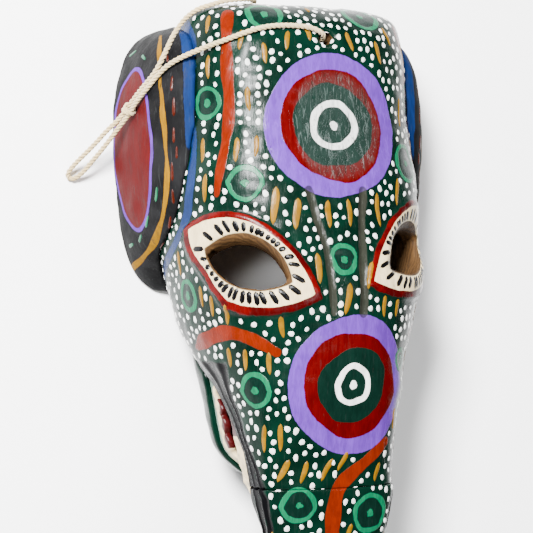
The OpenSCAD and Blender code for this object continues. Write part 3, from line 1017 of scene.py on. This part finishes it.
# ---------------------------------------------------------------- the hanging cord, millimetres
CORD_D = 3.5
CORD_ROUTE = [
    (2, 161, 104), (1, 162, 109), (-2, 164, 113), (-9, 167, 113), (-17, 168, 111), (-27, 168, 110),
    (-38, 167, 109), (-49, 164, 106), (-61, 159, 100), (-71, 155, 92), (-79, 151, 84), (-87, 147, 78),
    (-93, 142, 72), (-97, 136, 66), (-100, 130, 60), (-102, 125, 53), (-104, 120, 47), (-105, 115, 42),
    (-108, 109, 36), (-112, 101, 29), (-116, 93, 22), (-120, 86, 15), (-124, 79, 9), (-127, 75, 4),
    (-131, 73, 2), (-134, 76, 2), (-132, 81, 6), (-127, 88, 13), (-121, 96, 21), (-116, 104, 28),
    (-110, 111, 35), (-106, 118, 40), (-104, 123, 45), (-102, 128, 51), (-100, 133, 58), (-97, 139, 65),
    (-94, 146, 68), (-90, 154, 68), (-85, 163, 66), (-80, 170, 65), (-77, 175, 68), (-72, 180, 75),
    (-63, 183, 79), (-53, 186, 80), (-43, 187, 81), (-34, 188, 77), (-28, 188, 67), (-25, 188, 56),
    (-21, 185, 42), (-17, 178, 29), (-13, 172, 20), (-10, 167, 18), (-7, 166, 30), (-5, 166, 48),
    (-3, 166, 65), (0, 164, 80), (2, 161, 91), (2, 161, 101),
]
KNOT_AT = (-105, 117, 41)
KNOT_TURNS, KNOT_LONG, KNOT_R = 2.15, 4.6, 3.05


def even_steps(points, step):
    lengths = np.concatenate([[0], np.cumsum(np.linalg.norm(np.diff(points, axis=0), axis=1))])
    at = np.linspace(0, lengths[-1], int(round(lengths[-1] / step)) + 1)
    return np.column_stack([np.interp(at, lengths, points[:, k]) for k in range(3)]), lengths[-1]


def frames_along(points):
    """A direction, a side and an up at each point, that turn with the line and don't spin."""
    ahead = np.gradient(points, axis=0)
    ahead /= np.linalg.norm(ahead, axis=1)[:, None]
    side = np.cross(ahead[0], (0, 0, 1.0))
    if np.linalg.norm(side) < 0.1:
        side = np.cross(ahead[0], (0, 1.0, 0))
    sides = []
    for t in ahead:
        side = side - t * (side @ t)
        side /= np.linalg.norm(side)
        sides.append(side.copy())
    sides = np.array(sides)
    return ahead, sides, np.cross(ahead, sides)


def twisted(points, radius, pitch, strands=3, sides=8, seed=0):
    """Vertices and faces of strands laid round each other along a line, millimetres."""
    vertices, faces = [], []
    ahead, sides_, ups = frames_along(points)
    step = np.linalg.norm(points[1] - points[0])
    strand_r = radius * 0.55
    offset = radius - strand_r
    rng = np.random.default_rng(seed)
    for s in range(strands):
        phase = 2 * math.pi * s / strands + rng.uniform(-0.1, 0.1)
        start = len(vertices)
        for i, p in enumerate(points):
            turn = phase + 2 * math.pi * i * step / pitch
            out = math.cos(turn) * sides_[i] + math.sin(turn) * ups[i]
            round_ = np.cross(ahead[i], out)
            centre = p + out * offset
            thick = strand_r * (1 + 0.02 * math.sin(i * 0.9 + s))
            for k in range(sides):
                a = 2 * math.pi * k / sides
                vertices.append(centre + (math.cos(a) * out + math.sin(a) * round_) * thick)
        for i in range(len(points) - 1):
            for k in range(sides):
                m = (k + 1) % sides
                a = start + i * sides
                faces.append((a + k, a + m, a + sides + m, a + sides + k))
        last = start + (len(points) - 1) * sides
        faces.append(tuple(start + k for k in reversed(range(sides))))
        faces.append(tuple(last + k for k in range(sides)))
    return vertices, faces


def soft_piece(name, vertices, faces, look):
    return riding_mesh(name, [np.array(v) * MM for v in vertices], faces, look)


def make_cord(look):
    line, length = even_steps(rounded(CORD_ROUTE), 0.9)
    vertices, faces = twisted(line, CORD_D / 2, 9.5, seed=5)
    obj = soft_piece("twisted_cord", vertices, faces, look)
    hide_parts("hanging_cord")
    knot = make_knot(look)


def make_knot(look):
    """An overhand knot in the doubled cord: two turns round both runs, and a turn that crosses them."""
    axis = np.array((-6.0, -16.0, -17.0))
    axis /= np.linalg.norm(axis)
    side = np.cross(axis, (0, 0, 1.0))
    side /= np.linalg.norm(side)
    up = np.cross(axis, side)
    centre = np.array(KNOT_AT, float)
    points = []
    for t in np.linspace(0, 1, 61):
        turn = 2 * math.pi * KNOT_TURNS * t
        along = -KNOT_LONG / 2 + KNOT_LONG * t + 0.9 * math.sin(turn * 0.5)
        points.append(centre + axis * along + (side * math.cos(turn) + up * math.sin(turn)) * KNOT_R)
    line, _ = even_steps(np.array(points), 0.7)
    vertices, faces = twisted(line, 1.6, 8.0, seed=9)
    knot = soft_piece("cord_knot_tied", vertices, faces, look)
    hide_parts("cord_knot")
    return knot


# ---------------------------------------------------------------- floor, light and camera
# The camera looks down on the mask and leans to its -X side: degrees, millimetres of lens, metres
CAMERA_LEAN = 25
CAMERA_LENS = 135.2
CAMERA_TARGET = (-0.021, 0.016, 0.070)
CAMERA_AWAY = 1.3
LIT_POINT = (0, 0, 0.05)
FLOOR_HALF = 3.0
FLOOR_Z = -0.0004


def make_floor():
    mesh = bpy.data.meshes.new("floor")
    corners = [(x * FLOOR_HALF, y * FLOOR_HALF, FLOOR_Z) for x, y in ((-1, -1), (1, -1), (1, 1), (-1, 1))]
    mesh.from_pydata(corners, [], [(0, 1, 2, 3)])
    made, board, shader, place = material("pale_floor")
    speck = board.noise(place, 60, 2.0)
    shade(board, shader, Base_Color=board.mix(speck, (0.91, 0.91, 0.91), (0.93, 0.93, 0.93)), Roughness=0.9)
    mesh.materials.append(made)
    linked("floor", mesh)


def area_light(name, place, size, power):
    """A lamp that faces the mask. Place and size in metres, power in watts."""
    data = bpy.data.lights.new(name, "AREA")
    data.shape = "RECTANGLE"
    data.size, data.size_y = size
    data.energy = power
    light = linked(name, data)
    light.location = place
    light.rotation_euler = (Vector(LIT_POINT) - Vector(place)).to_track_quat("-Z", "Y").to_euler()


def make_light():
    world = bpy.data.worlds.new("studio")
    bpy.context.scene.world = world
    world.use_nodes = True
    back = world.node_tree.nodes["Background"]
    back.inputs["Color"].default_value = (0.95, 0.97, 1.0, 1.0)
    back.inputs["Strength"].default_value = 0.16
    area_light("key", (-1.0, 0.72, 1.45), (0.42, 0.42), 295)
    area_light("top", (0.35, 0.15, 1.6), (0.16, 0.9), 14)
    area_light("fill", (-0.5, -1.4, 0.9), (0.9, 0.9), 10)


def make_camera():
    lean = math.radians(CAMERA_LEAN)
    towards = Vector((-math.sin(lean), 0, math.cos(lean)))
    right = Vector((math.cos(lean), 0, math.sin(lean)))
    data = bpy.data.cameras.new("camera")
    data.sensor_width = 36
    data.lens = CAMERA_LENS
    camera = linked("camera", data)
    turn = Matrix((right, Vector((0, 1, 0)), towards)).transposed().to_4x4()
    camera.matrix_world = Matrix.Translation(Vector(CAMERA_TARGET) + towards * CAMERA_AWAY) @ turn
    bpy.context.scene.camera = camera


# ---------------------------------------------------------------- the mask
def lip_field(carved):
    """Red under the muzzle, where the upper lip turns in to the mouth."""
    up = carved.co[:, 2] - lip_height(carved.co[:, 1])
    ahead = np.where(carved.co[:, 1] < MOUTH_BACK_Y, 0.0, AWAY)
    return np.maximum(up - 1.0, ahead)


def make_head(look):
    head = Carved("head_shell", 1.38, 34, "painted_head").refresh()
    inside = unpainted_inside(head.co, head.normals)
    head.shift(carve_details(head.co, inside))
    inside = unpainted_inside(head.co, head.normals)
    return head.finish(inside, look, lip_field(head))


def make_nose(look):
    nose = Carved("nose_block", 0.95, 26, "painted_head").refresh()
    inside = np.zeros(len(nose.co))
    nose.shift(carve_details(nose.co, inside))
    return nose.finish(inside, look)


def make_jaw(look):
    jaw = Carved("lower_jaw", 1.25, 26, "painted_head").refresh()
    move = 0.25 * rolling(jaw.co, 19, 5)
    jaw.shift(move)
    middle = np.array([0.0, -75.0])
    inwards = np.einsum("ij,ij->i", jaw.normals[:, :2], jaw.co[:, :2] - middle) < -4
    floor_ = (jaw.normals[:, 2] > 0.7) & (jaw.co[:, 2] < 50)
    jaw_lip = np.where(inwards | floor_, -2.0, 2.0)
    return jaw.finish(np.zeros(len(jaw.co)), look, jaw_lip)


def make_ear(node, look):
    ear = Carved(node, 1.25, 22, "painted_ears").refresh()
    rim = np.where((ear.normals[:, 2] < -0.7) & (ear.co[:, 2] < 4), 1.0, 0.0)
    ear.shift(0.3 * rolling(ear.co, 24, 6) * (1 - rim))
    return ear.finish(rim, look)


def make_small(node, voxel, rounds, slot, look):
    piece = Carved(node, voxel, rounds, slot, keep=0.3).refresh()
    piece.shift(0.12 * rolling(piece.co, 7, 12))
    piece.obj.data.materials.append(look)
    shade_smooth(piece.obj.data)
    return piece


def make_teeth(node, look):
    """A strip of teeth, with red gum at the back of the upper ones and a grey root under the lower ones."""
    strip = make_small(node, 0.8, 6, "painted_teeth", look)
    upper = node.startswith("upper")
    y, z = strip.co[:, 1], strip.co[:, 2]
    scallop = 1.4 * np.abs(np.sin(y * 0.36))
    if upper:
        gum, root = GUM_END - y + scallop, np.full(len(y), AWAY)
    else:
        gum, root = np.maximum(62.5 - z + 1.3 * scallop, -101 - y), z - 59.5 + scallop
    set_field(strip.obj.data, "gum", gum)
    set_field(strip.obj.data, "root", root)
    return strip


def teeth_paint():
    made, board, shader, place = material("teeth_paint")
    brush = call(board, "brushwork", {"Place": place})
    dirt = board.noise(place, 190, 3.0, 0.6)
    colour = board.mix(board.ramp(dirt, 0.4, 0.7), CREAM, scaled(CREAM, 0.55))
    for field, paint in (("root", (0.10, 0.15, 0.12)), ("gum", DARK_RED)):
        mask = edge_mask(board, place, field, 2.5)
        colour = board.mix(mask, colour, paint)
    bump = board.bump(brush["Height"], 0.5, 0.0005)
    shade(board, shader, Base_Color=colour, Roughness=0.38, Normal=bump, Specular_IOR_Level=0.2)
    return made


def paint_dots(pieces, look):
    paint = Paint()
    for piece, seed in pieces:
        clearance = painted_distance(piece)
        for p in scatter(piece, clearance, 5.3, seed):
            size = RNG.uniform(1.35, 1.95)
            long = size * RNG.uniform(1.0, 1.3)
            paint.dab(piece.tree, p * MM, (0, 1, 0.0), long, size, RNG.uniform(0.28, 0.45))
    paint.build("white_dots", look)


def main():
    make_camera()
    make_cord(cotton("cotton"))
    make_floor()
    make_light()
    head_look = painted_wood("head_paint", DARK_GREEN, scaled(DARK_GREEN, 1.8), HEAD_LAYERS)
    ear_look = painted_wood("ear_paint", CHARCOAL, scaled(CHARCOAL, 2.4), EAR_LAYERS,
                            roughness=0.55, streaks=0.55, gloss=0.02)
    head = make_head(head_look)
    nose = make_nose(head_look)
    make_jaw(head_look)
    ears = [(-1, make_ear("left_ear", ear_look)), (1, make_ear("right_ear", ear_look))]
    for name, marks, colour in (("ear_teal", EAR_TEAL, TEAL), ("ear_orange", EAR_ORANGE, RUST)):
        paint = Paint()
        for side, ear in ears:
            for middle, way, long, wide in marks:
                mark(paint, ear.tree, (-side * middle[0], *middle[1:]), way, long, wide)
        paint.build(name, loose_paint(name + "_paint", colour))
    teeth = teeth_paint()
    for node in ("upper_teeth_left", "upper_teeth_right", "lower_teeth"):
        make_teeth(node, teeth)
    make_small("tongue", 1.0, 20, "painted_tongue", loose_paint("tongue_paint", RED))
    pegs = plain_wood("peg_wood", PEG_WOOD, scaled(PEG_WOOD, 0.5))
    for node in ("ear_pegs", "nose_pegs", "jaw_pegs"):
        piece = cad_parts[node]
        piece.data.materials.clear()
        piece.data.materials.append(pegs)

    dashes = Paint()
    for middle, long, wide in OCHRE_DASHES:
        tree = nose.tree if middle[1] < SEAM_Y else head.tree
        dash(dashes, tree, middle, long, wide)
    dashes.build("ochre_dashes", loose_paint("ochre_paint", OCHRE))
    black = Paint()
    for side in (-1, 1):
        lashes(black, head.tree, side)
    black.build("eye_lashes", loose_paint("black_paint", BLACK, 0.6, 0.25))
    paint_dots([(head, 21), (nose, 22)], loose_paint("white_paint", WHITE, 0.82))


main()
